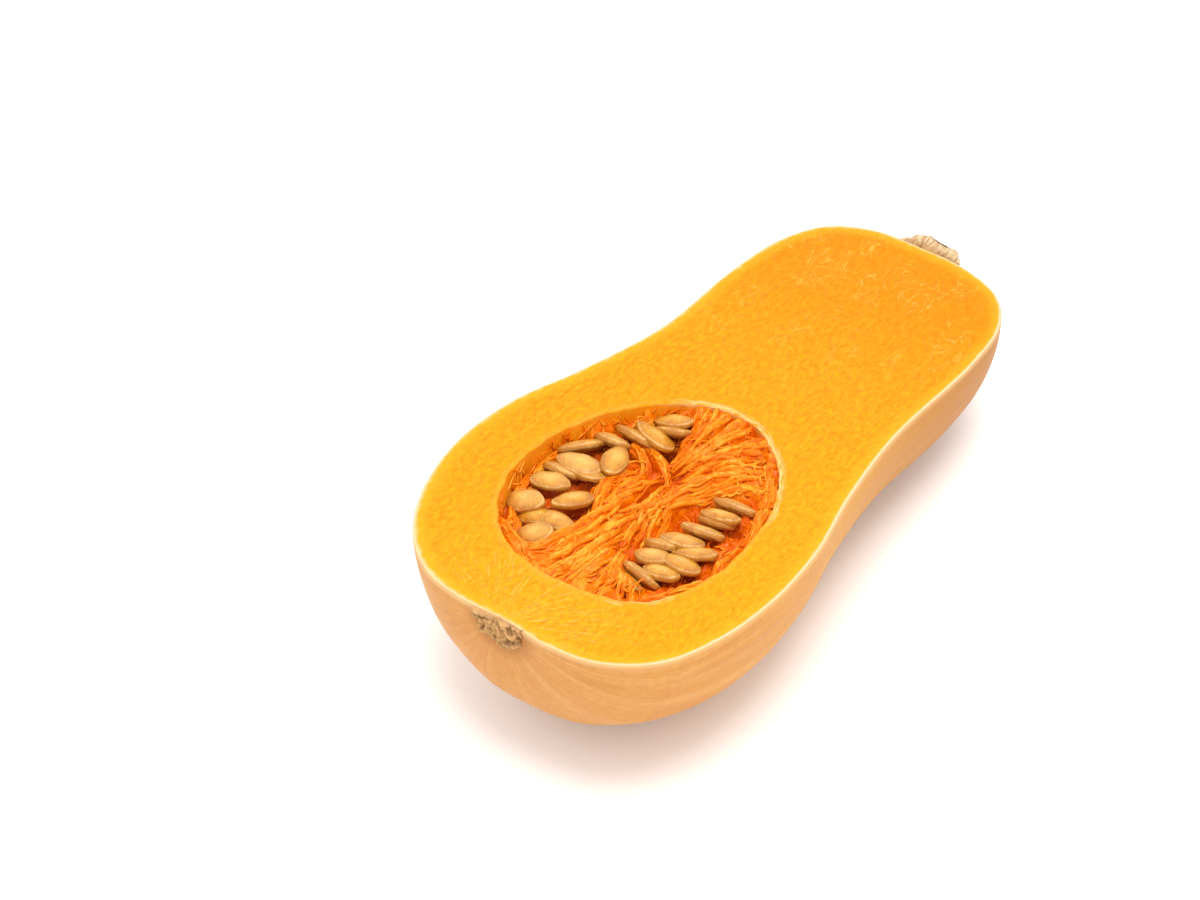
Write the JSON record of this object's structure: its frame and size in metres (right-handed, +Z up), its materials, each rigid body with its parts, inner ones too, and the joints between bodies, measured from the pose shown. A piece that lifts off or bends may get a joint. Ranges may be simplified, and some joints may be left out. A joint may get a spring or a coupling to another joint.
{
  "type": "halved butternut squash",
  "caption": "Butternut squash cut in half lengthwise, lying on its rounded back, with flat cut face, seed hollow filled with pulp and seeds, blossom scar and stem stub.",
  "frame": {"origin": "centre of the bounding box's bottom, on the surface that the half lies on", "axes": "+X along the squash to its stem end, +Z up, away from the surface, the cut face turned up and tipped about 5 degrees down towards +X"},
  "size_m": [0.2406, 0.1268, 0.0657],
  "materials": {
    "rind": "smooth satin tan rind with faint lengthwise streaks",
    "flesh": "moist cut flesh, orange with a pale band under the rind",
    "pulp": "wet stringy orange fibre",
    "seed": "moist cream seed coat with a darker edge",
    "scar_cork": "dry corky grey brown",
    "stem_cork": "dry ridged stem, pale fibrous cut"
  },
  "bodies": {
    "root": {"flesh_half": "flesh", "pulp": "pulp", "seeds_far": "seed", "seeds_near": "seed", "blossom_scar": "scar_cork", "stem_stub": "stem_cork"}
  },
  "joints": []
}
